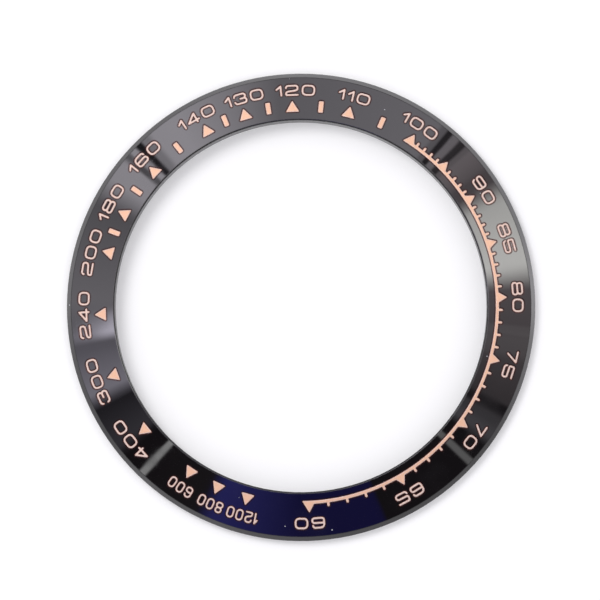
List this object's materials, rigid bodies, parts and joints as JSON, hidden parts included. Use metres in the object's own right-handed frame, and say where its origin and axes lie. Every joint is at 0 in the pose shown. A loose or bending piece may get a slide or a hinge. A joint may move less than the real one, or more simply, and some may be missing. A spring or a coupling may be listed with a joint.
{
  "type": "watch bezel insert",
  "caption": "Glossy black ceramic tachymeter insert ring with a sloped face, bevelled rim and engraved scale filled with rose gold.",
  "frame": {"origin": "on the ring's axis, in the plane of its flat back", "axes": "+Z along the axis, out of the sloped face; +Y towards the mark of the 60, and the scale's values fall clockwise seen from +Z"},
  "size_m": [0.0386, 0.0386, 0.0019],
  "materials": {
    "black_ceramic": "polished to a mirror gloss on the face, bevels and edges, fine ground on the back",
    "rose_gold_fill": "rose gold deposited in the engraving, satin and slightly below the face"
  },
  "bodies": {
    "root": {"ceramic_ring": "black_ceramic", "scale_track": "rose_gold_fill", "numeral_60": "rose_gold_fill", "numeral_65": "rose_gold_fill", "numeral_70": "rose_gold_fill", "numeral_75": "rose_gold_fill", "numeral_80": "rose_gold_fill", "numeral_85": "rose_gold_fill", "numeral_90": "rose_gold_fill", "numeral_100": "rose_gold_fill", "numeral_110": "rose_gold_fill", "numeral_120": "rose_gold_fill", "numeral_130": "rose_gold_fill", "numeral_140": "rose_gold_fill", "numeral_160": "rose_gold_fill", "numeral_180": "rose_gold_fill", "numeral_200": "rose_gold_fill", "numeral_240": "rose_gold_fill", "numeral_300": "rose_gold_fill", "numeral_400": "rose_gold_fill", "numeral_600": "rose_gold_fill", "numeral_800": "rose_gold_fill", "numeral_1200": "rose_gold_fill", "triangle_110": "rose_gold_fill", "triangle_120": "rose_gold_fill", "triangle_130": "rose_gold_fill", "triangle_140": "rose_gold_fill", "triangle_160": "rose_gold_fill", "triangle_180": "rose_gold_fill", "triangle_200": "rose_gold_fill", "triangle_240": "rose_gold_fill", "triangle_300": "rose_gold_fill", "triangle_400": "rose_gold_fill", "triangle_600": "rose_gold_fill", "triangle_800": "rose_gold_fill", "triangle_1200": "rose_gold_fill", "bar_105": "rose_gold_fill", "bar_115": "rose_gold_fill", "bar_125": "rose_gold_fill", "bar_135": "rose_gold_fill", "bar_150": "rose_gold_fill", "bar_170": "rose_gold_fill", "bar_190": "rose_gold_fill"}
  },
  "joints": []
}
